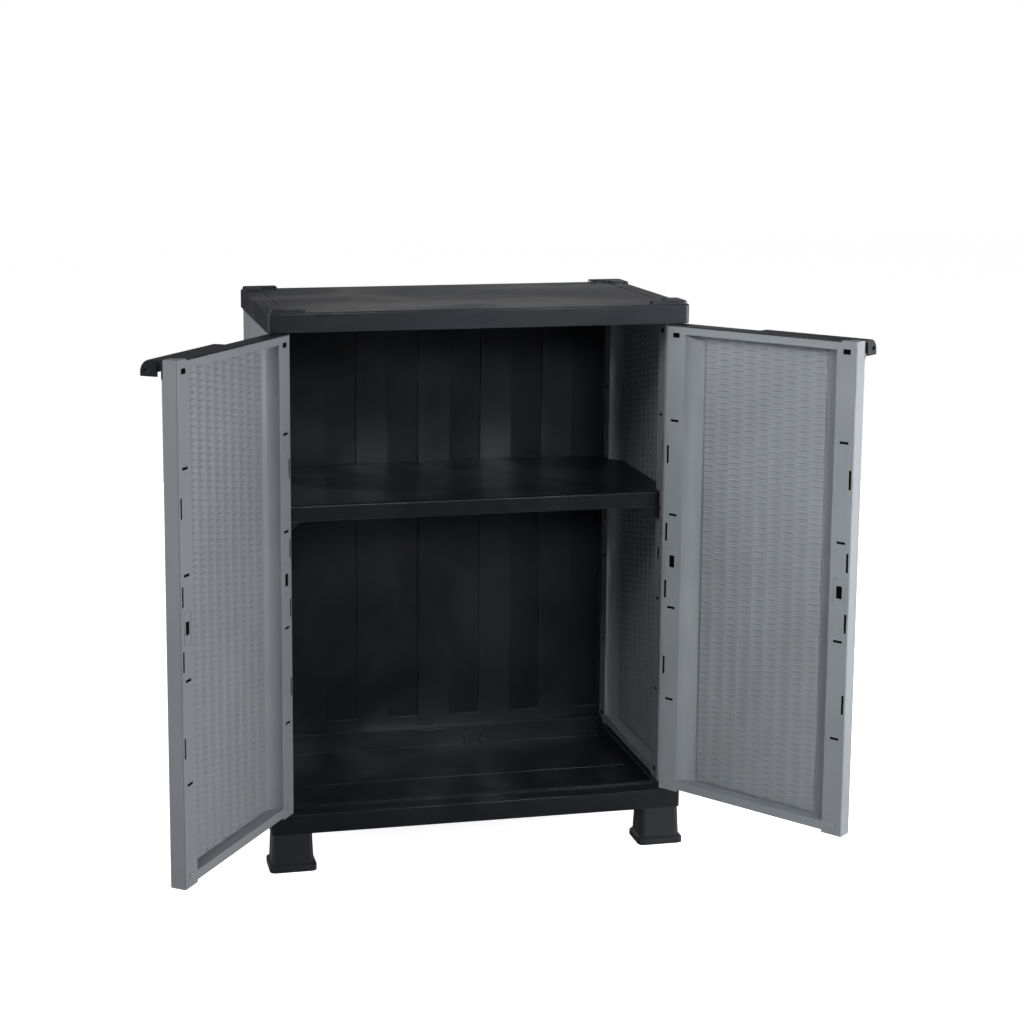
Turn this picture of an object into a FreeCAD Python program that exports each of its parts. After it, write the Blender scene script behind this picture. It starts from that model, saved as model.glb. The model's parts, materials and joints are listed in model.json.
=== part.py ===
import FreeCAD, Part
import math
import os

# Low garden storage cabinet moulded in polypropylene: a black base tray on four feet, grey
# side panels, a black boarded back, a black lid and shelf, and two grey doors with black
# pull rails. The doors turn on upright pins. All sizes are in millimetres and degrees.
# Origin: on the ground, below the middle of the lid. X to the right, Y to the back, Z up.

os.makedirs("parts", exist_ok=True)

# The grey tray panel, used twice for the sides and twice for the doors
panel_width = 336.0
panel_height = 773.0
panel_thickness = 26.0
panel_wall = 3.0
stile_width = 34.0
rail_height = 14.5
rail_setback = 4.0
recess_depth = 21.0
cove_width = 25.0
woven_relief = 1.5
end_block = 25.0
panel_edge_radius = 2.0
recess_edge_radius = 1.5

# Holes in the stiles, laid out from the middle of the panel and from its long edges
hole_inset = 17.0
dash_pitch = 154.4
dash_length = 15.0
dash_height = 4.2
edge_slot_inset = 5.2
edge_slot_width = 4.2
edge_slot_length = 30.0
edge_slot_offsets = (47.5, 175.6)
latch_hole_width = 10.0
latch_hole_height = 20.0
socket_width = 12.5
socket_height = 8.0
socket_depth = 8.0
socket_from_end = 16.5
plug_clearance = 0.2
plug_stand = 1.0

# How the carcass is put together
door_centre_gap = 4.0
door_side_margin = 2.0
side_overhang = 4.0
swing_clearance = 1.4
seam_gap = 0.3
rear_margin = 0.7
back_thickness = 6.0
peg_width = 16.0
peg_depth = 14.0
peg_height = 8.0
fit_clearance = 0.3

# Back panel boards
board_pitch = 111.8
board_first_groove = -252.3
board_step = 3.5
board_low_edge = 25.0
board_high_edge = 20.0
back_tongue_width = 30.0
back_tongue_height = 6.0
back_tongue_thickness = 3.0
back_tongue_x = 285.0

# Base tray
foot_height = 60.0
sill_height = 32.0
seat_rise = 4.0
base_side_reach = 1.0
base_front_setback = 2.0
floor_height = 10.0
floor_thickness = 4.0
tray_wall = 3.0
sill_depth = 33.0
side_beam_inner = 38.0
curb_depth = 20.0
curb_rise = 8.0
base_corner_radius = 6.0
sill_edge_radius = 2.0
under_rib_thickness = 3.0
under_rib_pitch = 100.0
corner_block_x = 86.0
corner_block_y = 60.0
floor_crease_width = 4.0
floor_crease_depth = 1.0
curb_notch_centre = -7.0
curb_notch_width = 48.0
curb_notch_depth = 4.0
clip_drop = 1.0
clip_setback = 5.0
catch_centres = (55.0, 83.0)
catch_width = 6.0
catch_height = 22.0
catch_reach = 5.0
catch_lip = 9.0

# Feet
foot_width = 64.0
foot_depth = 46.0
foot_side_inset = 2.0
foot_front_inset = 1.0
foot_plate = 9.0
foot_bevel = 4.0
foot_flare_side = 6.0
foot_flare_outward = 9.0
foot_flare_inward = 6.0
foot_taper = 2.0
foot_corner_radius = 9.0
foot_wall = 5.0
foot_top = 4.0
spigot_width = 40.0
spigot_depth = 28.0
spigot_height = 7.0

# Lid
lid_height = 31.0
lid_top_thickness = 3.0
lid_front_beam = 32.0
lid_back_beam = 11.0
lid_side_beam = 34.0
lid_corner_radius = 8.0
lid_edge_radius = 3.0
lid_rib_height = 12.0
lid_rib_thickness = 3.0
lid_rib_count = 5
lid_groove_inset = 30.0
lid_groove_width = 2.5
lid_groove_depth = 1.5
cap_width = 58.0
cap_depth = 52.0
cap_front_leg = 18.0
cap_side_leg = 28.0
cap_inset = 3.0
cap_rise = 5.0
cap_edge_radius = 2.0

# Shelf and its brackets
shelf_row = 0.5
shelf_height = 26.0
shelf_wall = 4.0
shelf_front_step = 13.0
shelf_play = 1.0
shelf_edge_radius = 3.0
shelf_rib_count = 3
shelf_rib_height = 14.0
bracket_inner_end = 17.0
bracket_reach = 22.0
bracket_thickness = 3.0
bracket_drop = 18.0
bracket_tongue = 6.0
tongue_clearance = 0.3

# Door pivots
pivot_from_edge = 12.0
pivot_from_outer = 8.0
pin_radius = 4.0
pin_running_clearance = 0.05
pin_seat_clearance = 0.02
pin_in_door = 18.0
pin_in_frame = 15.0
pin_bore_extra = 2.0
collar_radius = 7.0
collar_play = 0.3
door_lift = 2.5
left_door_open = 125.5
right_door_open = 128.0

# Door rails with their pull handles
strip_thickness = 2.5
strip_end_margin = 26.0
strip_tab_radius = 7.0
strip_tab_depth = 17.0
pull_length = 181.0
pull_reach = 34.0
pull_drop = 24.5
pull_wall = 3.5
pull_round = 18.0
pull_back_plate = 3.0
pull_back_height = 27.5
pull_end_plate = 3.0
pull_end_gap = 7.0
padlock_radius = 4.0
padlock_reach = 25.0
padlock_drop = 14.0

# Places that follow from the sizes above
pivot_depth = panel_thickness - pivot_from_outer
door_to_side_gap = math.hypot(pivot_from_edge, pivot_depth) - pivot_depth + swing_clearance
door_edge_x = door_centre_gap / 2 + panel_width
lid_half = door_edge_x + door_side_margin
side_outer_x = lid_half - side_overhang
side_inner_x = side_outer_x - panel_thickness
lid_depth = (panel_thickness + door_to_side_gap + panel_width + seam_gap
             + back_thickness + rear_margin)
front_y = -lid_depth / 2
rear_y = lid_depth / 2
door_inner_y = front_y + panel_thickness
side_front_y = door_inner_y + door_to_side_gap
side_back_y = side_front_y + panel_width
back_front_y = side_back_y + seam_gap
back_rear_y = back_front_y + back_thickness

base_half = lid_half + base_side_reach
base_front_y = front_y + base_front_setback
base_floor_z = foot_height + floor_height
sill_z = foot_height + sill_height
seat_z = sill_z + seat_rise
curb_z = seat_z + curb_rise
panel_top_z = seat_z + panel_height
lid_top_z = panel_top_z + lid_height
door_z = sill_z + door_lift
door_top_z = door_z + panel_height

pivot_x = door_edge_x - pivot_from_edge
pivot_y = front_y + pivot_from_outer
rib_z = foot_height + floor_height - floor_thickness
tray_half = base_half - side_beam_inner
tray_front_y = base_front_y + sill_depth
curb_front_y = side_back_y - curb_depth
shelf_slot_z = seat_z + panel_height / 2 + shelf_row * dash_pitch
shelf_z = shelf_slot_z + bracket_thickness / 2
shelf_top_z = shelf_z + shelf_height
shelf_front_y = side_front_y + shelf_front_step
slot_middle_y = (side_front_y + side_back_y) / 2
foot_outer_x = base_half - foot_side_inset
foot_front_y = base_front_y + foot_front_inset
foot_middle_y = (foot_front_y + rear_y - foot_front_inset) / 2
strip_end = panel_width - strip_end_margin
pull_start = panel_width - pull_length

Z_AXIS = FreeCAD.Vector(0, 0, 1)
ORIGIN = FreeCAD.Vector(0, 0, 0)


def box(x0, x1, y0, y1, z0, z1):
    """A block between two corners."""
    return Part.makeBox(x1 - x0, y1 - y0, z1 - z0, FreeCAD.Vector(x0, y0, z0))


def both_sides(shape):
    """The shape and its mirror image across the middle of the cabinet."""
    return [shape, shape.mirror(ORIGIN, FreeCAD.Vector(1, 0, 0))]


def rounded_outline(x0, x1, y0, y1, z, radius):
    """A rectangle with round corners, as a closed wire at height z."""
    arc = radius * (1 - math.sqrt(0.5))
    edges = []
    corners = [(x1, y0, -1, 1), (x1, y1, -1, -1), (x0, y1, 1, -1), (x0, y0, 1, 1)]
    starts = []
    for index, (x, y, sx, sy) in enumerate(corners):
        along_x = FreeCAD.Vector(x + sx * radius, y, z)
        along_y = FreeCAD.Vector(x, y + sy * radius, z)
        middle = FreeCAD.Vector(x + sx * arc, y + sy * arc, z)
        first, last = (along_x, along_y) if index % 2 == 0 else (along_y, along_x)
        starts.append((first, middle, last))
    for index, (first, middle, last) in enumerate(starts):
        edges.append(Part.Arc(first, middle, last).toShape())
        edges.append(Part.makeLine(last, starts[(index + 1) % 4][0]))
    return Part.Wire(edges)


def rounded_block(x0, x1, y0, y1, z0, z1, radius):
    """A block whose four upright corners are round."""
    outline = rounded_outline(x0, x1, y0, y1, z0, radius)
    return Part.Face(outline).extrude(FreeCAD.Vector(0, 0, z1 - z0))


def prism(points, z0, z1):
    """An upright prism over a polygon given as (x, y) points."""
    wire = Part.makePolygon([FreeCAD.Vector(x, y, z0) for x, y in points + points[:1]])
    return Part.Face(wire).extrude(FreeCAD.Vector(0, 0, z1 - z0))


def top_edges(shape, z):
    """The edges that lie wholly at height z."""
    found = []
    for edge in shape.Edges:
        if all(abs(vertex.Z - z) < 1e-6 for vertex in edge.Vertexes):
            found.append(edge)
    return found


def save(name, shape):
    """Check one finished piece and write it to its own file."""
    shape = shape.removeSplitter()
    volume = round(shape.Volume / 1000, 1)
    print(name, "solids", len(shape.Solids), "valid", shape.isValid(), "cm3", volume)
    shape.exportStep("parts/" + name + ".step")


def recess_outline():
    """The hollow side of the tray in plan: flat bottom, hollow curves up to both stiles."""
    radius = (cove_width ** 2 + recess_depth ** 2) / (2 * recess_depth)
    low = stile_width
    high = panel_width - stile_width
    centre_depth = recess_depth - radius
    half_turn = math.atan2(cove_width, -centre_depth) / 2
    mid_w = radius * math.sin(half_turn)
    mid_d = centre_depth + radius * math.cos(half_turn)
    a = FreeCAD.Vector(low, 0, 0)
    a_mid = FreeCAD.Vector(low + cove_width - mid_w, mid_d, 0)
    b = FreeCAD.Vector(low + cove_width, recess_depth, 0)
    c = FreeCAD.Vector(high - cove_width, recess_depth, 0)
    c_mid = FreeCAD.Vector(high - cove_width + mid_w, mid_d, 0)
    d = FreeCAD.Vector(high, 0, 0)
    d_out = FreeCAD.Vector(high, -panel_wall, 0)
    a_out = FreeCAD.Vector(low, -panel_wall, 0)
    edges = [Part.makeLine(a_out, a), Part.Arc(a, a_mid, b).toShape(), Part.makeLine(b, c)]
    edges += [Part.Arc(c, c_mid, d).toShape(), Part.makeLine(d, d_out), Part.makeLine(d_out, a_out)]
    return Part.Face(Part.Wire(edges))


def stile_holes(edge, inward):
    """Hollow of one stile and the holes in its inner face; inward is +1 or -1 along the width."""
    def span(near, far):
        low, high = sorted((edge + inward * near, edge + inward * far))
        return low, high

    cuts = []
    w0, w1 = span(panel_wall, stile_width - panel_wall)
    cuts.append(box(w0, w1, panel_wall, panel_thickness - panel_wall, end_block, panel_height - end_block))
    through = panel_wall + 1
    middle = panel_height / 2
    w0, w1 = span(hole_inset - dash_length / 2, hole_inset + dash_length / 2)
    for row in (-1.5, -0.5, 0.5, 1.5):
        z = middle + row * dash_pitch
        cuts.append(box(w0, w1, -1, through, z - dash_height / 2, z + dash_height / 2))
    half = edge_slot_width / 2
    w0, w1 = span(edge_slot_inset - half, edge_slot_inset + half)
    for offset in edge_slot_offsets:
        for z in (middle - offset, middle + offset):
            cuts.append(box(w0, w1, -1, through, z - edge_slot_length / 2, z + edge_slot_length / 2))
    w0, w1 = span(hole_inset - latch_hole_width / 2, hole_inset + latch_hole_width / 2)
    latch_z = middle - latch_hole_height / 2
    cuts.append(box(w0, w1, -1, through, latch_z, latch_z + latch_hole_height))
    w0, w1 = span(hole_inset - socket_width / 2, hole_inset + socket_width / 2)
    for z in (socket_from_end, panel_height - socket_from_end):
        cuts.append(box(w0, w1, -1, socket_depth, z - socket_height / 2, z + socket_height / 2))
    return cuts


def upright_edges(shape):
    """The edges that run straight up."""
    found = []
    for edge in shape.Edges:
        low, high = edge.Vertexes[0], edge.Vertexes[-1]
        if abs(high.Z - low.Z) > 1 and math.hypot(high.X - low.X, high.Y - low.Y) < 1e-6:
            found.append(edge)
    return found


def tray_panel():
    """The grey panel: X along its width, Y from the inner to the outer face, Z up."""
    shape = box(0, panel_width, 0, panel_thickness, 0, panel_height)
    shape = shape.makeFillet(panel_edge_radius, upright_edges(shape))
    recess_low = rail_setback + rail_height
    recess = recess_outline()
    recess.translate(FreeCAD.Vector(0, 0, recess_low))
    cuts = [recess.extrude(FreeCAD.Vector(0, 0, panel_height - rail_height - recess_low))]
    cuts.append(box(stile_width, panel_width - stile_width, -1, panel_thickness + 1, -1, rail_setback))
    border = stile_width + cove_width
    cuts.append(box(border, panel_width - border, panel_thickness - woven_relief, panel_thickness + 1,
                    border, panel_height - border))
    cuts += stile_holes(0, 1)
    cuts += stile_holes(panel_width, -1)
    shape = shape.cut(cuts)
    rims = []
    for edge in upright_edges(shape):
        place = edge.Vertexes[0]
        off_stile = abs(abs(place.X - panel_width / 2) - (panel_width / 2 - stile_width))
        if abs(place.Y) < 1e-6 and off_stile < 1e-6 and edge.Length > panel_height / 2:
            rims.append(edge)
    return shape.makeFillet(recess_edge_radius, rims)


def panel_pegs(clearance):
    """Pegs on both ends of a side panel's stiles, or their sockets when given a clearance."""
    pegs = []
    for w in (stile_width / 2, panel_width - stile_width / 2):
        x0, x1 = w - peg_width / 2 - clearance, w + peg_width / 2 + clearance
        y0 = (panel_thickness - peg_depth) / 2 - clearance
        y1 = (panel_thickness + peg_depth) / 2 + clearance
        pegs.append(box(x0, x1, y0, y1, -peg_height - clearance, 0))
        pegs.append(box(x0, x1, y0, y1, panel_height, panel_height + peg_height + clearance))
    return pegs


def to_right_side(shape):
    """Move a panel from its own frame to the cabinet's right side."""
    moved = shape.copy()
    moved.rotate(ORIGIN, Z_AXIS, -90)
    moved.translate(FreeCAD.Vector(side_inner_x, side_back_y, seat_z))
    return moved


def to_right_door(shape):
    """Move a panel from its own frame to the closed right door."""
    moved = shape.copy()
    moved.rotate(ORIGIN, Z_AXIS, 180)
    moved.translate(FreeCAD.Vector(door_edge_x, door_inner_y, door_z))
    return moved


def open_right(shape):
    """Turn a piece of the closed right door to the pose it is stored in."""
    moved = shape.copy()
    moved.rotate(FreeCAD.Vector(pivot_x, pivot_y, 0), Z_AXIS, right_door_open)
    return moved


def open_left(shape):
    """Mirror a piece of the closed right door and turn it to the left door's pose."""
    moved = shape.mirror(ORIGIN, FreeCAD.Vector(1, 0, 0))
    moved.rotate(FreeCAD.Vector(-pivot_x, pivot_y, 0), Z_AXIS, -left_door_open)
    return moved


def back_tongues(clearance):
    """Tongues below and above the back panel, or their slots when given a clearance."""
    y0 = (back_front_y + back_rear_y) / 2 - back_tongue_thickness / 2 - clearance
    y1 = y0 + back_tongue_thickness + 2 * clearance
    x0 = back_tongue_x - back_tongue_width / 2 - clearance
    x1 = back_tongue_x + back_tongue_width / 2 + clearance
    reach = back_tongue_height + clearance
    low = box(x0, x1, y0, y1, seat_z - reach, seat_z)
    high = box(x0, x1, y0, y1, panel_top_z, panel_top_z + reach)
    return both_sides(low) + both_sides(high)


def pull_section(inset, near, low):
    """Closed face of the pull's section at the panel's own X of 0, inset from the outside."""
    far = panel_thickness + pull_reach
    radius = pull_round - inset
    high = panel_height - inset
    turn = radius * (1 - math.sqrt(0.5))
    far = far - inset
    p = [FreeCAD.Vector(0, near, high), FreeCAD.Vector(0, far - radius, high)]
    middle = FreeCAD.Vector(0, far - turn, high - turn)
    q = [FreeCAD.Vector(0, far, high - radius), FreeCAD.Vector(0, far, low), FreeCAD.Vector(0, near, low)]
    edges = [Part.makeLine(p[0], p[1]), Part.Arc(p[1], middle, q[0]).toShape()]
    edges += [Part.makeLine(q[0], q[1]), Part.makeLine(q[1], q[2]), Part.makeLine(q[2], p[0])]
    return Part.Face(Part.Wire(edges))


def pull_block(inset, near, low, start, end):
    """The pull's section drawn out along the panel's width."""
    face = pull_section(inset, near, low)
    face.translate(FreeCAD.Vector(start, 0, 0))
    return face.extrude(FreeCAD.Vector(end - start, 0, 0))


def strip_block():
    """The flat strip on top of the door, with the round tab at its free end."""
    low = panel_height - strip_thickness
    strip = box(0, strip_end, 0, panel_thickness, low, panel_height)
    tab_centre = FreeCAD.Vector(strip_end, strip_tab_depth, low)
    tab = Part.makeCylinder(strip_tab_radius, strip_thickness, tab_centre)
    return strip.fuse(tab)


def back_plate_block():
    """The part of the rail that lies in the door's outer face behind the pull."""
    return box(pull_start, panel_width, panel_thickness - pull_back_plate, panel_thickness,
               panel_height - pull_back_height, panel_height)


def door_rail():
    """Black rail: top strip, back plate and hollow pull with a padlock hole at its free end."""
    low = panel_height - pull_drop
    outer = pull_block(0, panel_thickness, low, pull_start, panel_width)
    hollow = pull_block(pull_wall, panel_thickness, low - 1, pull_start + pull_end_plate,
                        panel_width - pull_end_plate)
    end_gap = box(panel_width - pull_end_plate - 1, panel_width + 1, panel_thickness,
                  panel_thickness + pull_end_gap, low - 1, panel_height - pull_wall)
    shape = outer.cut([hollow, end_gap])
    hole_start = FreeCAD.Vector(panel_width - pull_end_plate - 1, panel_thickness + padlock_reach,
                                panel_height - padlock_drop)
    hole = Part.makeCylinder(padlock_radius, pull_end_plate + 2, hole_start, FreeCAD.Vector(1, 0, 0))
    return shape.fuse([strip_block(), back_plate_block()]).cut([hole] + pivot_bores())


def pivot_bores():
    """The running bores of the pivot pins at the bottom and the top of a door."""
    depth = pin_in_door + pin_bore_extra
    radius = pin_radius + pin_running_clearance
    places = [FreeCAD.Vector(pivot_from_edge, pivot_depth, z) for z in (0, panel_height - depth)]
    return [Part.makeCylinder(radius, depth, place) for place in places]


def door_panel(panel):
    """A tray panel with the seats of the rail and the bores of the pivot pins."""
    return panel.cut([strip_block(), back_plate_block()] + pivot_bores())


def door_plugs():
    """Plugs that close the lower sockets of a door's two stiles."""
    plugs = []
    for w in (hole_inset, panel_width - hole_inset):
        half_w = socket_width / 2 - plug_clearance
        half_z = socket_height / 2 - plug_clearance
        plugs.append(box(w - half_w, w + half_w, -plug_stand, socket_depth,
                         socket_from_end - half_z, socket_from_end + half_z))
    return Part.makeCompound(plugs)


def pivot_pin(frame_z, door_edge_z, upward):
    """A right-hand pivot pin with its collar; upward is +1 below the door, -1 above it."""
    start = frame_z - upward * pin_in_frame
    stop = door_edge_z + upward * pin_in_door
    low, high = sorted((start, stop))
    shaft = Part.makeCylinder(pin_radius, high - low, FreeCAD.Vector(pivot_x, pivot_y, low))
    low, high = sorted((frame_z, door_edge_z - upward * collar_play))
    collar = Part.makeCylinder(collar_radius, high - low, FreeCAD.Vector(pivot_x, pivot_y, low))
    return shaft.fuse(collar)


def pin_bore(frame_z, upward):
    """The seat of a pivot pin in the base or the lid."""
    low = frame_z - pin_in_frame if upward > 0 else frame_z
    return Part.makeCylinder(pin_radius + pin_seat_clearance, pin_in_frame,
                             FreeCAD.Vector(pivot_x, pivot_y, low))


def foot_box(grow_side, grow_out, grow_in, z, radius):
    """Outline of the right front foot at one height, grown on each side as given."""
    return rounded_outline(foot_outer_x - foot_width - grow_side, foot_outer_x + grow_side,
                           foot_front_y - grow_out, foot_front_y + foot_depth + grow_in, z, radius)


def right_front_foot():
    """A flared foot plate with a bevel, a tapered box above it and a spigot on top."""
    wide = (foot_flare_side, foot_flare_outward, foot_flare_inward)
    narrow = (foot_taper, foot_taper, foot_taper)
    bevel_z = foot_plate + foot_bevel
    plate = Part.Face(foot_box(*wide, 0, foot_corner_radius)).extrude(FreeCAD.Vector(0, 0, foot_plate))
    bevel = Part.makeLoft([foot_box(*wide, foot_plate, foot_corner_radius),
                           foot_box(*narrow, bevel_z, foot_corner_radius)], True, True)
    body = Part.makeLoft([foot_box(*narrow, bevel_z, foot_corner_radius),
                          foot_box(0, 0, 0, foot_height, foot_corner_radius)], True, True)
    shape = plate.fuse([bevel, body])
    shape = shape.fuse(foot_spigot(0))
    hollow = box(foot_outer_x - foot_width + foot_wall, foot_outer_x - foot_wall, foot_front_y + foot_wall,
                 foot_front_y + foot_depth - foot_wall, -1, foot_height - foot_top)
    return shape.cut(hollow)


def foot_spigot(clearance):
    """The spigot on top of the right front foot, or its socket when given a clearance."""
    x = foot_outer_x - foot_width / 2
    y = foot_front_y + foot_depth / 2
    return box(x - spigot_width / 2 - clearance, x + spigot_width / 2 + clearance,
               y - spigot_depth / 2 - clearance, y + spigot_depth / 2 + clearance,
               foot_height, foot_height + spigot_height + clearance)


def across(shape, y):
    """The mirror image of a front piece in the upright plane at the given depth."""
    return shape.mirror(FreeCAD.Vector(0, y, 0), FreeCAD.Vector(0, 1, 0))


def under_cells():
    """Cells below the tray floor, between the ribs that stiffen it."""
    cells = []
    half = base_half - corner_block_x
    front = tray_front_y + tray_wall
    rear = curb_front_y - tray_wall
    count_x = max(1, round(2 * half / under_rib_pitch))
    count_y = max(1, round((rear - front) / under_rib_pitch))
    step_x = 2 * half / count_x
    step_y = (rear - front) / count_y
    gap = under_rib_thickness / 2
    for i in range(count_x):
        for j in range(count_y):
            x0 = -half + i * step_x
            y0 = front + j * step_y
            cells.append(box(x0 + gap, x0 + step_x - gap, y0 + gap, y0 + step_y - gap,
                             foot_height - 1, rib_z))
    return cells


def beam_cells():
    """Hollows inside the tray's front, side and rear beams, open from below."""
    half = base_half - corner_block_x
    top_front = sill_z - tray_wall
    top_back = seat_z - tray_wall
    below = foot_height - 1
    cells = [box(-half, half, base_front_y + tray_wall, tray_front_y - tray_wall, below, top_front)]
    cells.append(box(-half, half, curb_front_y + tray_wall, rear_y - tray_wall, below, top_back))
    front = base_front_y + corner_block_y
    rear = rear_y - corner_block_y
    side = box(tray_half + tray_wall, base_half - tray_wall, front, rear, below, top_back)
    return cells + both_sides(side)


def base_tray():
    """Tray floor with sill, side beams, rear curb, foot sockets, pin bores and peg sockets."""
    shape = rounded_block(-base_half, base_half, base_front_y, rear_y, foot_height, sill_z,
                          base_corner_radius)
    seat = rounded_block(-base_half, base_half, base_front_y, rear_y, sill_z, seat_z, base_corner_radius)
    seat = seat.cut(box(-base_half, base_half, base_front_y, side_front_y, sill_z, seat_z))
    curb_half = side_inner_x - fit_clearance
    curb = box(-curb_half, curb_half, curb_front_y, side_back_y, seat_z, curb_z)
    shape = shape.fuse([seat, curb]).removeSplitter()
    front_edges = []
    for edge in top_edges(shape, sill_z):
        if all(abs(vertex.Y - base_front_y) < 1e-6 for vertex in edge.Vertexes):
            front_edges.append(edge)
    shape = shape.makeFillet(sill_edge_radius, front_edges)
    cuts = [box(-tray_half, tray_half, tray_front_y, curb_front_y, base_floor_z, curb_z + 1)]
    crease = floor_crease_width / 2
    crease_z = base_floor_z - floor_crease_depth
    cuts.append(box(-tray_half, tray_half, -crease, crease, crease_z, base_floor_z))
    notch = curb_notch_width / 2
    cuts.append(box(curb_notch_centre - notch, curb_notch_centre + notch, curb_front_y, side_back_y,
                    curb_z - curb_notch_depth, curb_z + 1))
    cuts += under_cells() + beam_cells()
    for foot in both_sides(foot_spigot(fit_clearance)):
        cuts += [foot, across(foot, foot_middle_y)]
    cuts += both_sides(pin_bore(sill_z, 1))
    for peg in panel_pegs(fit_clearance):
        cuts += both_sides(to_right_side(peg))
    cuts += back_tongues(fit_clearance)
    return shape.cut(cuts)


def curb_clip():
    """Clip in the curb's notch that holds the foot of the back panel."""
    half = curb_notch_width / 2 - fit_clearance
    low = curb_z - curb_notch_depth
    return box(curb_notch_centre - half, curb_notch_centre + half, curb_front_y + clip_setback, side_back_y,
               low, curb_z - clip_drop)


def curb_catches():
    """Two small hooks on the front face of the curb."""
    hooks = []
    for centre in catch_centres:
        x0, x1 = centre - catch_width / 2, centre + catch_width / 2
        stem = box(x0, x1, curb_front_y - catch_reach / 2, curb_front_y,
                   base_floor_z, base_floor_z + catch_height)
        lip = box(x0, x1, curb_front_y - catch_reach, curb_front_y,
                  base_floor_z, base_floor_z + catch_lip)
        hooks.append(stem.fuse(lip))
    return Part.makeCompound(hooks)


def back_panel():
    """Boarded back: each board has a flat half and a half that slopes in to the next groove."""
    half = side_outer_x - door_side_margin
    shape = box(-half, half, back_front_y, back_rear_y, seat_z, panel_top_z)
    cuts = []
    low = seat_z + board_low_edge
    high = panel_top_z - board_high_edge
    groove = board_first_groove
    while groove + board_pitch / 2 < side_inner_x:
        crease = groove + board_pitch / 2
        end = min(groove + board_pitch, half - board_step)
        wedge = [(crease, back_front_y - 1), (end, back_front_y - 1), (end, back_front_y + board_step),
                 (crease, back_front_y)]
        cuts.append(prism(wedge, low, high))
        groove += board_pitch
    return shape.cut(cuts).fuse(back_tongues(0))


def lid_caps():
    """Four raised L-shaped corners on the lid."""
    x, y = lid_half - cap_inset, lid_depth / 2 - cap_inset
    top = lid_top_z + cap_rise
    block = rounded_block(-x, x, -y, y, lid_top_z, top, lid_corner_radius)
    inner = box(-x + cap_side_leg, x - cap_side_leg, -y + cap_front_leg, y - cap_front_leg, lid_top_z, top)
    gap_x = box(-x + cap_width, x - cap_width, -y, y, lid_top_z, top)
    gap_y = box(-x, x, -y + cap_depth, y - cap_depth, lid_top_z, top)
    caps = block.cut([inner, gap_x, gap_y])
    return caps.makeFillet(cap_edge_radius, top_edges(caps, top))


def lid():
    """Lid with perimeter beams, a ribbed ceiling, round edges and raised corners."""
    shape = rounded_block(-lid_half, lid_half, front_y, rear_y, panel_top_z, lid_top_z, lid_corner_radius)
    shape = shape.makeFillet(lid_edge_radius, top_edges(shape, lid_top_z))
    ceiling = lid_top_z - lid_top_thickness
    inner_half = lid_half - lid_side_beam
    inner_front = front_y + lid_front_beam
    inner_rear = rear_y - lid_back_beam
    cavity = box(-inner_half, inner_half, inner_front, inner_rear, panel_top_z - 1, ceiling)
    step = 2 * inner_half / (lid_rib_count + 1)
    ribs = []
    for i in range(lid_rib_count):
        x = -inner_half + (i + 1) * step
        ribs.append(box(x - lid_rib_thickness / 2, x + lid_rib_thickness / 2, inner_front, inner_rear,
                        ceiling - lid_rib_height, ceiling))
    cuts = [cavity.cut(ribs)]
    groove = box(lid_half - lid_groove_inset - lid_groove_width, lid_half - lid_groove_inset,
                 front_y + cap_depth, rear_y - cap_depth, lid_top_z - lid_groove_depth, lid_top_z + 1)
    cuts += both_sides(groove)
    cuts += both_sides(pin_bore(panel_top_z, -1))
    for peg in panel_pegs(fit_clearance):
        cuts += both_sides(to_right_side(peg))
    cuts += back_tongues(fit_clearance)
    return shape.cut(cuts).fuse(lid_caps())


def shelf_outline(inset):
    """The shelf in plan: narrow past the stiles, wide in the hollows of the side panels."""
    narrow = side_inner_x - shelf_play - inset
    wide = side_inner_x + recess_depth - woven_relief - shelf_play - inset
    front = shelf_front_y + inset
    rear = side_back_y - shelf_play - inset
    front_stile = side_front_y + stile_width + shelf_play + inset
    rear_stile = side_back_y - stile_width - shelf_play - inset
    half = [(narrow, front), (narrow, front_stile), (wide, front_stile + cove_width),
            (wide, rear_stile - cove_width), (narrow, rear_stile), (narrow, rear)]
    return half + [(-x, y) for x, y in reversed(half)]


def shelf():
    """Shelf plate with an apron all round, ribs below and a round front edge."""
    shape = prism(shelf_outline(0), shelf_z, shelf_top_z)
    front_edges = []
    for edge in top_edges(shape, shelf_top_z):
        if all(abs(vertex.Y - shelf_front_y) < 1e-6 for vertex in edge.Vertexes):
            front_edges.append(edge)
    shape = shape.makeFillet(shelf_edge_radius, front_edges)
    hollow = prism(shelf_outline(shelf_wall), shelf_z - 1, shelf_top_z - shelf_wall)
    ribs = []
    step = 2 * side_inner_x / (shelf_rib_count + 1)
    for i in range(shelf_rib_count):
        x = -side_inner_x + (i + 1) * step
        ribs.append(box(x - shelf_wall / 2, x + shelf_wall / 2, side_front_y, side_back_y,
                        shelf_top_z - shelf_wall - shelf_rib_height, shelf_top_z))
    return shape.cut(hollow.cut(ribs))


def shelf_bracket():
    """Front right bracket: a ledge, a tongue in the stile's slot and a gusset below."""
    low = shelf_slot_z - bracket_thickness / 2
    slot_y = side_front_y + hole_inset
    y0, y1 = shelf_front_y, slot_y + bracket_inner_end
    ledge = box(side_inner_x - bracket_reach, side_inner_x, y0, y1, low, low + bracket_thickness)
    half_z = dash_height / 2 - tongue_clearance
    tongue_y = slot_y + dash_length / 2 - tongue_clearance
    tongue = box(side_inner_x, side_inner_x + bracket_tongue, y0, tongue_y,
                 shelf_slot_z - half_z, shelf_slot_z + half_z)
    tip_x = side_inner_x - bracket_reach
    corners = [(side_inner_x, low), (tip_x, low), (side_inner_x, low - bracket_drop)]
    wire = Part.makePolygon([FreeCAD.Vector(x, y0, z) for x, z in corners + corners[:1]])
    gusset = Part.Face(wire).extrude(FreeCAD.Vector(0, y1 - y0, 0))
    return ledge.fuse([tongue, gusset])


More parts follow.
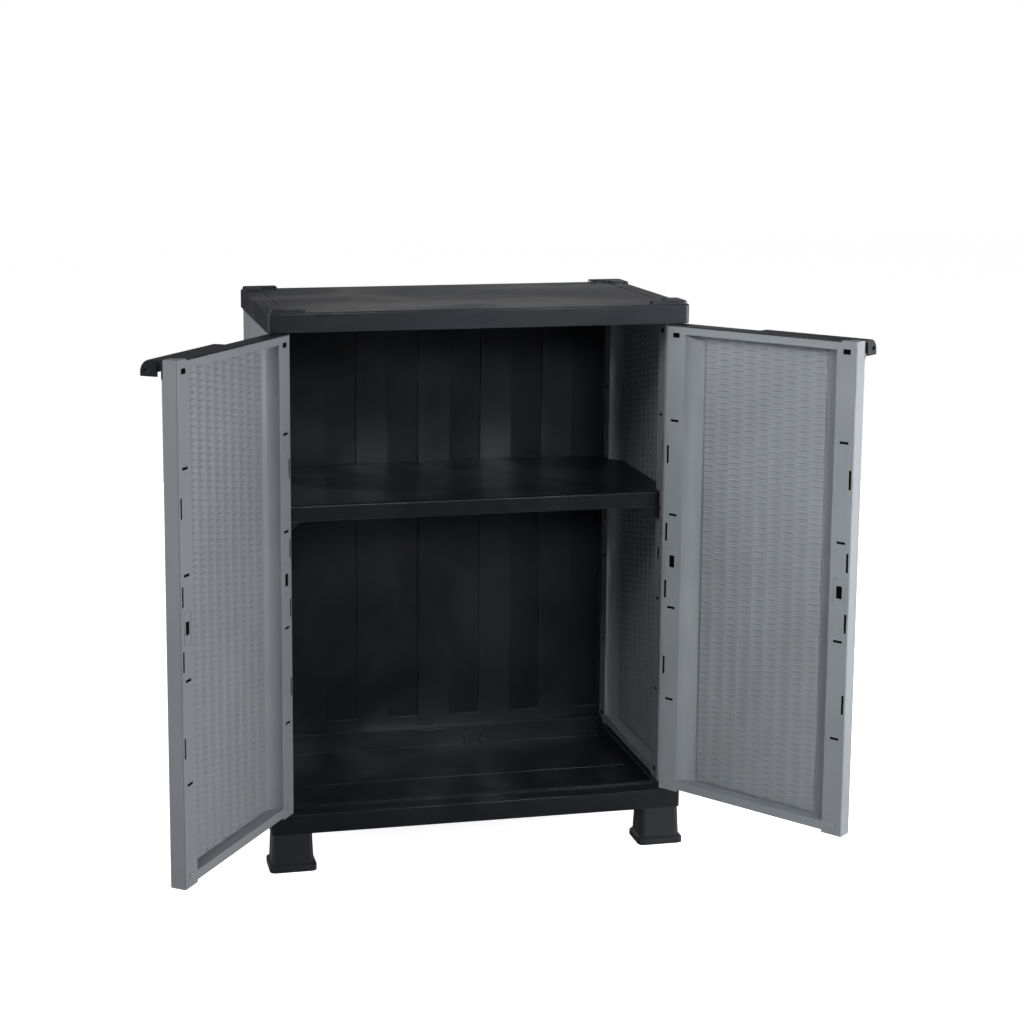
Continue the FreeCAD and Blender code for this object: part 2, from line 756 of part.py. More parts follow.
panel = tray_panel()
right_side = to_right_side(panel.fuse(panel_pegs(0)))
right_foot = right_front_foot()
right_door = to_right_door(door_panel(panel))
right_rail = to_right_door(door_rail())
right_plugs = to_right_door(door_plugs())

for side, shape in zip(("right", "left"), both_sides(right_side)):
    save("side_panel_" + side, shape)
for side, shape in zip(("right", "left"), both_sides(right_foot)):
    save("foot_front_" + side, shape)
    save("foot_rear_" + side, across(shape, foot_middle_y))
for side, shape in zip(("right", "left"), both_sides(shelf_bracket())):
    save("shelf_bracket_front_" + side, shape)
    save("shelf_bracket_rear_" + side, across(shape, slot_middle_y))
for side, shape in zip(("right", "left"), both_sides(pivot_pin(sill_z, door_z, 1))):
    save("pivot_pin_lower_" + side, shape)
for side, shape in zip(("right", "left"), both_sides(pivot_pin(panel_top_z, door_top_z, -1))):
    save("pivot_pin_upper_" + side, shape)
for side, swing in (("right", open_right), ("left", open_left)):
    save("door_panel_" + side, swing(right_door))
    save("door_rail_" + side, swing(right_rail))
    save("door_plugs_" + side, swing(right_plugs))

save("base_tray", base_tray())
save("curb_clip", curb_clip())
save("curb_catches", curb_catches())
save("back_panel", back_panel())
save("lid", lid())
save("shelf", shelf())

print("lid width, depth, overall height", 2 * lid_half, lid_depth, lid_top_z + cap_rise)
print("pivot x, y", pivot_x, pivot_y, "door bottom, top", door_z, door_top_z)
print("shelf top", shelf_top_z)
print("side panel inner face", side_inner_x, "from", side_front_y, "to", side_back_y)
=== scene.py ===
# %% [markdown]
# A low garden cabinet, dressed in Blender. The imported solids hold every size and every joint:
# grey tray panels for the sides and doors, a black tray base on feet, a black lid and shelf.
# This lesson adds what a solid doesn't hold: the rattan relief of the panels, the small moulded
# marks, and the look of grey and black polypropylene. Nothing that is packed is moved.

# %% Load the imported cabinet
import json
import math
import bmesh
import bpy
from mathutils import Matrix, Vector


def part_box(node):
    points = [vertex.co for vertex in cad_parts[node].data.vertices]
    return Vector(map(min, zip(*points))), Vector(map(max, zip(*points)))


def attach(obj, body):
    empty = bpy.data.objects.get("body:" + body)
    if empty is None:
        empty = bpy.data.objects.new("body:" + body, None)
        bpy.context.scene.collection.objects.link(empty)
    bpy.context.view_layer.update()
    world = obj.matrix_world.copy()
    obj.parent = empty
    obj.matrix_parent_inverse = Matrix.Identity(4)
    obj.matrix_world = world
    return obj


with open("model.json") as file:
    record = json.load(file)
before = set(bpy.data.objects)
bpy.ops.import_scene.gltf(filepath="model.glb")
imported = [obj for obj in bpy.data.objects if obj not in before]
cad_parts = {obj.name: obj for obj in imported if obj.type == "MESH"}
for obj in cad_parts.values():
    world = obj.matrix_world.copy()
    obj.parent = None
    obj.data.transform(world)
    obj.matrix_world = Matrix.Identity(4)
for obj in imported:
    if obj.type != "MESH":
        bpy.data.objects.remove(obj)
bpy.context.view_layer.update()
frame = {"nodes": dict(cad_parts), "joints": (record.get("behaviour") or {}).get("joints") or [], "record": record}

nodes = frame["nodes"]
joints = {joint["name"]: joint for joint in frame["joints"]}
scene = bpy.context.scene

# %% [markdown]
# The picture was taken with the camera level and square to the cabinet's front, from the left
# and from above the lid, so the upright edges stay upright and the cabinet lies off the lens's
# axis. A shifted lens does that. A full shift would push the cabinet out of frame in every other
# view, so this camera takes a small part of it, and turns towards the cabinet for the rest.

# %% Camera
photo_side = 1024
sensor_width = 36.0
focal_pixels = 1958.0
axis_pixel = (405.0, 380.0)
camera_place = Vector((-0.706, -3.152, 1.247))
camera_turn = math.radians(11.09)
camera_dip = math.radians(8.59)

camera_data = bpy.data.cameras.new("camera")
camera_data.sensor_width = sensor_width
camera_data.lens = focal_pixels / photo_side * sensor_width
camera_data.shift_x = (photo_side / 2 - axis_pixel[0]) / photo_side
camera_data.shift_y = (axis_pixel[1] - photo_side / 2) / photo_side
camera = bpy.data.objects.new("camera", camera_data)
camera.location = camera_place
camera.rotation_euler = (math.pi / 2 - camera_dip, 0.0, -camera_turn)
scene.collection.objects.link(camera)
scene.camera = camera
print("lens", round(camera_data.lens, 1), "shift", camera_data.shift_x, camera_data.shift_y)

# %% [markdown]
# Shader trees and geometry trees are both made of nodes with sockets. One helper adds a node,
# gives it its settings, and fills each input with a number or with a wire from another node.
# A short form of it does one step of arithmetic. Another helper makes a node group's sockets, and
# the last one ends a geometry tree, so that each group and each tree below is short to read.

# %% Helpers for node trees
def make(tree, kind, inputs=None, **settings):
    """Add one node; an input's value is either a number, a colour or another node's output."""
    node = tree.nodes.new(kind)
    for key, value in settings.items():
        setattr(node, key, value)
    for key, value in (inputs or {}).items():
        if isinstance(value, bpy.types.NodeSocket):
            tree.links.new(value, node.inputs[key])
        else:
            node.inputs[key].default_value = value
    return node


def maths(tree, operation, first, second=0.0):
    """One arithmetic step, which works in both kinds of tree."""
    return make(tree, "ShaderNodeMath", {0: first, 1: second}, operation=operation).outputs[0]


def group_tree(name, kind, inputs, outputs):
    """A node group with named sockets. Returns the tree, its input node and its output node."""
    tree = bpy.data.node_groups.new(name, kind)
    for socket, socket_kind in inputs:
        tree.interface.new_socket(socket, in_out="INPUT", socket_type="NodeSocket" + socket_kind)
    for socket, socket_kind in outputs:
        tree.interface.new_socket(socket, in_out="OUTPUT", socket_type="NodeSocket" + socket_kind)
    return tree, tree.nodes.new("NodeGroupInput"), tree.nodes.new("NodeGroupOutput")


def end_tree(tree, result, geometry, finish):
    """The last steps of every geometry tree: real geometry, which carries its finish."""
    real = make(tree, "GeometryNodeRealizeInstances", {"Geometry": geometry})
    painted = make(tree, "GeometryNodeSetMaterial",
                   {"Geometry": real.outputs["Geometry"], "Material": finish})
    tree.links.new(painted.outputs["Geometry"], result.inputs["Geometry"])
    print("tree", tree.name, "with", len(tree.nodes), "nodes")


# %% [markdown]
# A mould for polypropylene is spark eroded, which leaves a fine leathery grain about a
# millimetre across. It is too fine to model, so it is a bump. The same group also gives a slow
# mottling of tone and gloss and a slow, smooth waviness, because large thin mouldings cool
# unevenly and warp a little between their ribs.

# %% Group: moulded grain
grain_detail = 3.0
mottle_detail = 2.0
mottle_distortion = 0.6
wave_detail = 0.0
grain_tree, given, result = group_tree(
    "moulded_grain", "ShaderNodeTree",
    [("Vector", "Vector"), ("Grain Scale", "Float"), ("Mottle Scale", "Float")],
    [("Height", "Float"), ("Mottle", "Float"), ("Wave", "Float")])
fine = make(grain_tree, "ShaderNodeTexNoise",
            {"Vector": given.outputs["Vector"], "Scale": given.outputs["Grain Scale"],
             "Detail": grain_detail})
slow = make(grain_tree, "ShaderNodeTexNoise",
            {"Vector": given.outputs["Vector"], "Scale": given.outputs["Mottle Scale"],
             "Detail": mottle_detail, "Distortion": mottle_distortion})
warp = make(grain_tree, "ShaderNodeTexNoise",
            {"Vector": given.outputs["Vector"], "Scale": given.outputs["Mottle Scale"],
             "Detail": wave_detail})
grain_tree.links.new(fine.outputs["Fac"], result.inputs["Height"])
grain_tree.links.new(slow.outputs["Fac"], result.inputs["Mottle"])
grain_tree.links.new(warp.outputs["Fac"], result.inputs["Wave"])
print("group", grain_tree.name)

# %% [markdown]
# Small rounded edges catch the light, so they get a painted highlight: the colour goes a little
# paler there. The Bevel node knows where a surface turns sharply: its normal leans away from the
# true normal near an edge. How far it leans is the mask, broken up by the mottling so that the
# painted highlight isn't an even line.

# %% Group: painted edge highlights
edge_highlight_tree, given, result = group_tree(
    "painted_edge_highlights", "ShaderNodeTree",
    [("Rounded Normal", "Vector"), ("Amount", "Float"), ("Break Up", "Float")],
    [("Mask", "Float")])
true_normal = make(edge_highlight_tree, "ShaderNodeNewGeometry")
lean = make(edge_highlight_tree, "ShaderNodeVectorMath",
            {0: given.outputs["Rounded Normal"], 1: true_normal.outputs["Normal"]},
            operation="DOT_PRODUCT")
turned = maths(edge_highlight_tree, "SUBTRACT", 1.0, lean.outputs["Value"])
strong = maths(edge_highlight_tree, "MULTIPLY", turned, given.outputs["Amount"])
patchy = maths(edge_highlight_tree, "MULTIPLY", strong, given.outputs["Break Up"])
capped = make(edge_highlight_tree, "ShaderNodeClamp", {"Value": patchy})
edge_highlight_tree.links.new(capped.outputs["Result"], result.inputs["Mask"])
print("group", edge_highlight_tree.name)

# %% [markdown]
# Each plastic is one Principled shader. The groups feed its colour, roughness and normal, and
# everything that is the same all over is set on the shader's own sockets. The Bevel node rounds
# the small edges in the shading, as a mould's parting and core edges are never quite sharp. The
# blacks of the body and the lid also have patches with a glossier skin, where the melt lay
# against the mould.

# %% Grain, waves and mottling in a finish
noise_low = 0.3
noise_high = 0.7
wave_strength = 1.0
grain_strength = 0.35


def mottle_range(tree, grain, low, high):
    """The slow mottling, turned into a value between a first and a second one."""
    return make(tree, "ShaderNodeMapRange", {"Value": grain.outputs["Mottle"], "From Min": noise_low,
                                             "From Max": noise_high, "To Min": low, "To Max": high})


def grained_normal(tree, grain, smooth_normal, waviness, grain_depth):
    """The surface's direction with the slow waves on it, and the fine grain on those."""
    wavy = make(tree, "ShaderNodeBump", {"Strength": wave_strength, "Distance": waviness,
                                         "Height": grain.outputs["Wave"], "Normal": smooth_normal})
    bump = make(tree, "ShaderNodeBump", {"Strength": grain_strength, "Distance": grain_depth,
                                         "Height": grain.outputs["Height"],
                                         "Normal": wavy.outputs["Normal"]})
    return bump.outputs["Normal"]


# %% Plastic finish
mix_first, mix_second, mix_result = 6, 7, 2
cool_sheen = (0.86, 0.91, 1.0, 1.0)
tone_change = 0.07
skin_from = 0.42
skin_full = 0.64
bevel_samples = 4


def plastic(name, colour, highlight_colour, roughness, grain_scale, mottle_scale, grain_depth,
            stretch=(1.0, 1.0, 1.0), gloss=0.5, edge_radius=0.0008, edge_highlight_amount=1.4, waviness=0.0006,
            patchy=0.06, polish=0.0, hollow_shade=0.0):
    """Polypropylene: base colour, the paler colour painted on its edges as a highlight, mean roughness, and the
    grain's sizes.
    """
    material = bpy.data.materials.new(name)
    material.use_nodes = True
    tree = material.node_tree
    shader = tree.nodes["Principled BSDF"]
    place = make(tree, "ShaderNodeTexCoord")
    mapped = make(tree, "ShaderNodeMapping", {"Vector": place.outputs["Object"], "Scale": stretch})
    grain = make(tree, "ShaderNodeGroup", node_tree=grain_tree)
    tree.links.new(mapped.outputs["Vector"], grain.inputs["Vector"])
    grain.inputs["Grain Scale"].default_value = grain_scale
    grain.inputs["Mottle Scale"].default_value = mottle_scale
    soft_edge = make(tree, "ShaderNodeBevel", {"Radius": edge_radius}, samples=bevel_samples)
    edge_highlight = make(tree, "ShaderNodeGroup", node_tree=edge_highlight_tree)
    tree.links.new(soft_edge.outputs["Normal"], edge_highlight.inputs["Rounded Normal"])
    tree.links.new(grain.outputs["Mottle"], edge_highlight.inputs["Break Up"])
    edge_highlight.inputs["Amount"].default_value = edge_highlight_amount
    tone = mottle_range(tree, grain, 1.0 - tone_change, 1.0 + tone_change)
    # Painted shade: where the weave is marked, the colour is darkened by up to hollow_shade.
    hollow = make(tree, "ShaderNodeAttribute", attribute_name="crevice")
    painted_shade_factor = make(tree, "ShaderNodeMapRange", {"Value": hollow.outputs["Fac"], "To Min": 1.0,
                                              "To Max": 1.0 - hollow_shade})
    shade = maths(tree, "MULTIPLY", tone.outputs["Result"], painted_shade_factor.outputs["Result"])
    base = make(tree, "ShaderNodeVectorMath", {0: colour, "Scale": shade}, operation="SCALE")
    # Painted highlight: near the edges the colour is mixed towards the paler one.
    highlighted = make(tree, "ShaderNodeMix", data_type="RGBA")
    tree.links.new(edge_highlight.outputs["Mask"], highlighted.inputs["Factor"])
    tree.links.new(base.outputs["Vector"], highlighted.inputs[mix_first])
    highlighted.inputs[mix_second].default_value = (*highlight_colour, 1.0)
    tree.links.new(highlighted.outputs[mix_result], shader.inputs["Base Color"])
    shine = mottle_range(tree, grain, roughness + patchy, roughness - patchy)
    tree.links.new(shine.outputs["Result"], shader.inputs["Roughness"])
    normal = grained_normal(tree, grain, soft_edge.outputs["Normal"], waviness, grain_depth)
    tree.links.new(normal, shader.inputs["Normal"])
    shader.inputs["Specular IOR Level"].default_value = gloss
    shader.inputs["Specular Tint"].default_value = cool_sheen
    if polish > 0.0:
        skin = make(tree, "ShaderNodeMapRange",
                    {"Value": grain.outputs["Mottle"], "From Min": skin_from, "From Max": skin_full,
                     "To Min": 0.0, "To Max": polish}, interpolation_type="SMOOTHSTEP")
        tree.links.new(skin.outputs["Result"], shader.inputs["Coat Weight"])
        shader.inputs["Coat Roughness"].default_value = roughness
    return material


# %% [markdown]
# The cabinet has two colours but more finishes. The panels are a satin mid grey, with the weave
# a shade lighter. The carcass mouldings are a deep black. The lid is a lighter black whose
# mottling is drawn out along its width, the way the plastic flowed. The pins are smooth, as the
# doors turn on them.

# %% Finishes
finishes = {
    "grey_panel": plastic(
        "grey_panel", (0.262, 0.279, 0.296), (0.34, 0.355, 0.37), roughness=0.46,
        grain_scale=850.0, mottle_scale=5.0, grain_depth=0.00025),
    # The weave's finish darkens the places the tree marked: painted shade.
    "grey_weave": plastic(
        "grey_weave", (0.275, 0.292, 0.308), (0.34, 0.355, 0.37), roughness=0.46,
        grain_scale=850.0, mottle_scale=5.0, grain_depth=0.00025, hollow_shade=0.27),
    "grey_plug": plastic(
        "grey_plug", (0.3, 0.315, 0.33), (0.36, 0.375, 0.39), roughness=0.42,
        grain_scale=900.0, mottle_scale=9.0, grain_depth=0.0002),
    "black_body": plastic(
        "black_body", (0.006, 0.0063, 0.0095), (0.1, 0.102, 0.11), roughness=0.33,
        grain_scale=700.0, mottle_scale=5.0, grain_depth=0.0003, gloss=0.38,
        edge_radius=0.0018, edge_highlight_amount=4.0, waviness=0.008, patchy=0.05, polish=0.35),
    "black_lid": plastic(
        "black_lid", (0.022, 0.0225, 0.0275), (0.12, 0.122, 0.13), roughness=0.36,
        grain_scale=750.0, mottle_scale=5.5, grain_depth=0.00025, stretch=(0.6, 1.0, 1.0),
        edge_radius=0.002, edge_highlight_amount=4.0, waviness=0.006, patchy=0.14, polish=0.6),
    "black_foot": plastic(
        "black_foot", (0.018, 0.0185, 0.022), (0.06, 0.062, 0.07), roughness=0.42,
        grain_scale=620.0, mottle_scale=12.0, grain_depth=0.00035, edge_radius=0.0015, edge_highlight_amount=3.0),
    "black_pin": plastic(
        "black_pin", (0.02, 0.02, 0.022), (0.05, 0.05, 0.052), roughness=0.3,
        grain_scale=900.0, mottle_scale=20.0, grain_depth=0.0001),
    # A near-black for the plates in the stiles' holes: painted shade for the dark hollow behind.
    "painted_slot_shade": plastic(
        "painted_slot_shade", (0.002, 0.002, 0.002), (0.004, 0.004, 0.004), roughness=0.8,
        grain_scale=700.0, mottle_scale=40.0, grain_depth=0.0002, gloss=0.05),
}
for subpart in frame["record"]["subparts"]:
    mesh = nodes[subpart["node"]].data
    mesh.materials.clear()
    mesh.materials.append(finishes[subpart["material_slot"]])

# %% [markdown]
# The four grey panels are one moulding, used upright as a side or turned as a door. To put
# anything on a panel, this lesson needs to know where the panel's own width, depth and height
# lie. A side follows from its box. A door follows from its hinge: closed first, then turned by
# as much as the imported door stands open.

# %% Where the panels are
panel_width = 0.336
panel_thickness = 0.026
peg_height = 0.008
pivot_from_edge = 0.012
pivot_from_outer = 0.008
sill_height = 0.032
foot_height = 0.060
door_lift = 0.0025
door_foot = foot_height + sill_height + door_lift


def side_place(side, across, deep, high):
    """A point of a side panel, given along its width, from its inner face out, and up."""
    sign = 1 if side == "right" else -1
    low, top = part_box("side_panel_" + side)
    inner_x = min(abs(low.x), abs(top.x))
    return Vector((sign * (inner_x + deep), top.y - across, low.z + peg_height + high))


def door_place(side, across, deep, high):
    """A point of a door panel, from its hinge edge, from its inner face out, and up."""
    sign = 1 if side == "right" else -1
    hinge = joints[side + "_door_hinge"]
    pivot = Vector(hinge["pos_m"])
    closed = Vector((sign * (pivot_from_edge - across),
                     panel_thickness - pivot_from_outer - deep, 0.0))
    swing = -math.radians(hinge["range_deg"][0]) * hinge["axis"][2]
    turned = Matrix.Rotation(swing, 3, "Z") @ closed
    return Vector((pivot.x + turned.x, pivot.y + turned.y, door_foot + high))


def seat_on(place, side, across, deep, high, outward):
    """Matrix that lays a flat pattern on a panel: its X across, its Y up, its Z off the face."""
    origin = place(side, across, deep, high)
    step = place(side, across, deep + (1 if outward else -1), high) - origin
    normal = step.normalized()
    up = Vector((0.0, 0.0, 1.0))
    turn = Matrix((up.cross(normal), up, normal)).transposed()
    return Matrix.Translation(origin) @ turn.to_4x4()


sides = ("left", "right")
panels = [("side", side, side_place, "cabinet") for side in sides]
panels += [("door", side, door_place, "door_" + side) for side in sides]
for side in sides:
    free_edge = door_place(side, panel_width, 0.0, 0.0)
    print(side, "door free edge", [round(value, 3) for value in free_edge])

# %% [markdown]
# The panels copy woven rattan: flat double strands run across, dive behind upright stakes and
# come out again half a strand lower, so neighbouring columns are half a step apart. The outside
# has a short crevice between two strands. The inside is the back of the same thin wall, where
# each strand is a hollow and each crevice a ridge. It could be a bump map, but at this size the
# relief shows at the edge of the panel. The tree takes a flat block and sinks parts of its top.
# At the two sides of the field the relief runs on to the edge, as if it were cut there.

# %% Tree: woven field
weave_inputs = [("Columns", "Int"), ("Rows", "Int"), ("Column Pitch", "Float"),
                ("Row Pitch", "Float"), ("Relief", "Float"), ("Sink", "Float"),
                ("Inside", "Float"), ("Finish", "Material")]
weave_tree, given, result = group_tree("woven_field", "GeometryNodeTree", weave_inputs,
                                       [("Geometry", "Geometry")])
size = given.outputs
steps_per_strand = 6
field_width = maths(weave_tree, "MULTIPLY", size["Columns"], size["Column Pitch"])
field_height = maths(weave_tree, "MULTIPLY", size["Rows"], size["Row Pitch"])


def steps(tree, count):
    """Vertices along one side, a few to each column or strand."""
    return maths(tree, "ADD", maths(tree, "MULTIPLY", count, steps_per_strand), 1.0)


block_size = make(weave_tree, "ShaderNodeCombineXYZ",
                  {"X": field_width, "Y": field_height, "Z": 1.0})
block = make(weave_tree, "GeometryNodeMeshCube",
             {"Size": block_size.outputs[0], "Vertices X": steps(weave_tree, size["Columns"]),
              "Vertices Y": steps(weave_tree, size["Rows"]), "Vertices Z": 2})
print("tree", weave_tree.name, "started")

# %% [markdown]
# Each point of the block first learns where it lies in its column and in its row, from -0.5 to
# 0.5. In every second column the rows are shifted by half a strand.

# %% Columns and rows
position = make(weave_tree, "GeometryNodeInputPosition")
part = make(weave_tree, "ShaderNodeSeparateXYZ", {0: position.outputs[0]})
half_width = maths(weave_tree, "MULTIPLY", field_width, 0.5)
half_height = maths(weave_tree, "MULTIPLY", field_height, 0.5)
columns_in = maths(weave_tree, "DIVIDE", maths(weave_tree, "ADD", part.outputs["X"], half_width),
                   size["Column Pitch"])
in_column = maths(weave_tree, "SUBTRACT", maths(weave_tree, "FRACT", columns_in), 0.5)
odd = maths(weave_tree, "MODULO", maths(weave_tree, "FLOOR", columns_in), 2.0)
rows_up = maths(weave_tree, "DIVIDE", maths(weave_tree, "ADD", part.outputs["Y"], half_height),
                size["Row Pitch"])
staggered = maths(weave_tree, "ADD", rows_up, maths(weave_tree, "MULTIPLY", odd, 0.5))
in_row = maths(weave_tree, "SUBTRACT", maths(weave_tree, "FRACT", staggered), 0.5)
print("nodes up to the columns and rows", len(weave_tree.nodes))

# %% [markdown]
# Arches turn those places into shapes. The one over a column is 1 midway between two stakes and 0
# on them. The one over a row is 1 along the strand and 0 between two strands. A third and narrow
# one stands for the low ridge that parts the two halves of a double strand on the inside.

# %% Stakes, strands and hollows
hem_share = 0.999
stake_power = 1.5
strand_power = 0.25
ridge_narrowing = 3.0
ridge_power = 1.0
middle_ridge = 0.4


def arch(tree, value, power):
    """A dome from 0 at both ends to 1 in the middle of -0.5 to 0.5; a low power is flatter."""
    angle = maths(tree, "MULTIPLY", value, math.pi)
    wave = maths(tree, "MAXIMUM", maths(tree, "COSINE", angle), 0.0)
    return maths(tree, "POWER", wave, power)


def mixed(tree, share, first, second):
    """The first value at a share of 0 and the second at a share of 1."""
    change = maths(tree, "SUBTRACT", second, first)
    return maths(tree, "ADD", first, maths(tree, "MULTIPLY", change, share))


at_hem = maths(weave_tree, "GREATER_THAN", maths(weave_tree, "ABSOLUTE", part.outputs["X"]),
               maths(weave_tree, "MULTIPLY", half_width, hem_share))
between_stakes = maths(weave_tree, "MAXIMUM", arch(weave_tree, in_column, stake_power), at_hem)
strand = arch(weave_tree, in_row, strand_power)
between_strands = maths(weave_tree, "SUBTRACT", 1.0, strand)
strand_middle = arch(weave_tree, maths(weave_tree, "MULTIPLY", in_row, ridge_narrowing),
                     ridge_power)
split = maths(weave_tree, "SUBTRACT", 1.0,
              maths(weave_tree, "MULTIPLY", strand_middle, middle_ridge))
strand_hollow = maths(weave_tree, "MULTIPLY", strand, split)
sunk_part = mixed(weave_tree, size["Inside"], between_strands, strand_hollow)
print("nodes up to the strands", len(weave_tree.nodes))

# %% [markdown]
# The shade between two strands is painted as a darker mark, and on the inside a little of it in
# the hollows too. The mark is stored on the points under a name, and a material can read it there
# by that name.

# %% Painted shade marks
hollow_shade_mark = 0.22
middle_shade_mark = 0.12
inside_shade_mark = maths(weave_tree, "ADD", hollow_shade_mark,
                    maths(weave_tree, "MULTIPLY", strand_middle, middle_shade_mark))
shaded_part = maths(weave_tree, "ADD", between_strands,
                    maths(weave_tree, "MULTIPLY", size["Inside"], inside_shade_mark))
painted_shade_mark = maths(weave_tree, "MULTIPLY", between_stakes, shaded_part)
marked = make(weave_tree, "GeometryNodeStoreNamedAttribute",
              {"Geometry": block.outputs["Mesh"], "Name": "crevice", "Value": painted_shade_mark},
              data_type="FLOAT", domain="POINT")
print("nodes up to the dust marks", len(weave_tree.nodes))

# %% [markdown]
# Now the top of the block goes down where the shapes say so, and its underside goes a little way
# into the panel, so that no gap is left. The points beside a crevice also move closer to it,
# which makes it narrower. Only the faces that look outwards are shaded smooth.

# %% Relief of the weave
sunk_share = 0.95
ridge_pinch = 0.08
steepest_smooth = 0.1
sunk = maths(weave_tree, "MULTIPLY", between_stakes, sunk_part)
lift = maths(weave_tree, "SUBTRACT", 1.0, maths(weave_tree, "MULTIPLY", sunk, sunk_share))
on_top = maths(weave_tree, "GREATER_THAN", part.outputs["Z"], 0.0)
above = maths(weave_tree, "MULTIPLY", maths(weave_tree, "MULTIPLY", lift, size["Relief"]), on_top)
below = maths(weave_tree, "MULTIPLY", maths(weave_tree, "SUBTRACT", 1.0, on_top), size["Sink"])
pinch = maths(weave_tree, "MULTIPLY", maths(weave_tree, "MULTIPLY", size["Row Pitch"], ridge_pinch),
              maths(weave_tree, "SINE", maths(weave_tree, "MULTIPLY", in_row, 2 * math.pi)))
pinched = maths(weave_tree, "ADD", part.outputs["Y"],
                maths(weave_tree, "MULTIPLY", pinch, between_stakes))
point = make(weave_tree, "ShaderNodeCombineXYZ", {"X": part.outputs["X"], "Y": pinched,
                                                  "Z": maths(weave_tree, "SUBTRACT", above, below)})
shaped = make(weave_tree, "GeometryNodeSetPosition",
              {"Geometry": marked.outputs["Geometry"], "Position": point.outputs[0]})
normal = make(weave_tree, "GeometryNodeInputNormal")
facing = make(weave_tree, "ShaderNodeSeparateXYZ", {0: normal.outputs[0]})
smooth_part = maths(weave_tree, "GREATER_THAN", facing.outputs["Z"], steepest_smooth)
smooth = make(weave_tree, "GeometryNodeSetShadeSmooth",
              {"Geometry": shaped.outputs["Geometry"], "Shade Smooth": smooth_part})
end_tree(weave_tree, result, smooth.outputs["Geometry"], size["Finish"])

# %% [markdown]
# A tree is run by a modifier on an empty mesh. Its inputs are set by the sockets' identifiers
# before anything is evaluated. The evaluated result is then copied into a plain mesh, and the
# modifier goes, so that what rides on the panel is ordinary geometry.

# %% Running a tree and keeping its mesh
def grow(tree, values):
    """Run a geometry tree once with named values and return its result as a plain mesh."""
    host = bpy.data.objects.new("host", bpy.data.meshes.new("host"))
    scene.collection.objects.link(host)
    modifier = host.modifiers.new("grow", "NODES")
    modifier.node_group = tree
    for item in tree.interface.items_tree:
        if item.in_out == "INPUT" and item.name in values:
            modifier[item.identifier] = values[item.name]
    graph = bpy.context.evaluated_depsgraph_get()
    mesh = bpy.data.meshes.new_from_object(host.evaluated_get(graph))
    host.modifiers.remove(modifier)
    bpy.data.objects.remove(host)
    return mesh


def piece(name, placed, body):
    """Join meshes, each laid down by its own matrix, into one piece that rides on a body."""
    joined = bmesh.new()
    for mesh, matrix in placed:
        copy = mesh.copy()
        copy.transform(matrix)
        joined.from_mesh(copy)
    whole = bpy.data.meshes.new(name)
    joined.to_mesh(whole)
    joined.free()
    for material in placed[0][0].materials:
        whole.materials.append(material)
    made = bpy.data.objects.new(name, whole)
    scene.collection.objects.link(made)
    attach(made, body)
    whole.calc_loop_triangles()
    print(name, "rides on", body, "triangles", len(whole.loop_triangles))


# %% [markdown]
# The strands show as pale bands with thin dark lines between them. The relief's own shadows give
# part of that. The rest is painted shade: the tree has marked where a strand dives, and the finish
# darkens the colour there. The outer field stops short of the panel's edges, and the inner one
# fills the floor of the recess.

# %% Sizes of the weave
panel_height = 0.773
stile_width = 0.034
cove_width = 0.025
recess_depth = 0.021
woven_relief = 0.0015
rail_height = 0.0145
rail_setback = 0.004
border = stile_width + cove_width
columns = 9
column_pitch = (panel_width - 2 * border) / columns
row_pitch = 0.0098
inner_relief = 0.0024
outer_relief = 0.0014
strand_sink = 0.0002
from_outside = 0.0
from_inside = 1.0
half_a_row = 0.5
recess_low = rail_setback + rail_height
recess_high = panel_height - rail_height
outer_low = border
outer_high = panel_height - border
print("column pitch", round(column_pitch, 4), "row pitch", row_pitch)

# %% Weave on the four panels
def woven_mesh(low, high, relief, inside):
    """The weave between two heights of a panel, as seen from outside or from inside."""
    rows = math.floor((high - low) / row_pitch - half_a_row)
    print("weave", columns, "by", rows)
    return grow(weave_tree, {"Columns": columns, "Rows": rows, "Column Pitch": column_pitch,
                             "Row Pitch": row_pitch, "Relief": relief,
                             "Sink": strand_sink, "Inside": inside,
                             "Finish": finishes["grey_weave"]})


inner_weave = woven_mesh(recess_low, recess_high, inner_relief, from_inside)
outer_weave = woven_mesh(outer_low, outer_high, outer_relief, from_outside)
inner_middle = (recess_low + recess_high) / 2
outer_middle = (outer_low + outer_high) / 2
outer_depth = panel_thickness - woven_relief
for kind, side, place, body in panels:
    inner = seat_on(place, side, panel_width / 2, recess_depth, inner_middle, False)
    outer = seat_on(place, side, panel_width / 2, outer_depth, outer_middle, True)
    piece("weave_" + kind + "_" + side, [(inner_weave, inner), (outer_weave, outer)],
          body)

# %% [markdown]
# The stiles are hollow and pierced: short dashes for brackets, long slots beside the edge, a latch
# hole at half height and a square socket near each end. Behind a thin skin the hollow lies in
# shade, so they look black all through. That shade is painted: each one gets a black plate just
# inside, apart from the dashes that hold a bracket and the sockets that hold a plug. Many of them
# come in evenly spaced rows, which a short tree sets out.

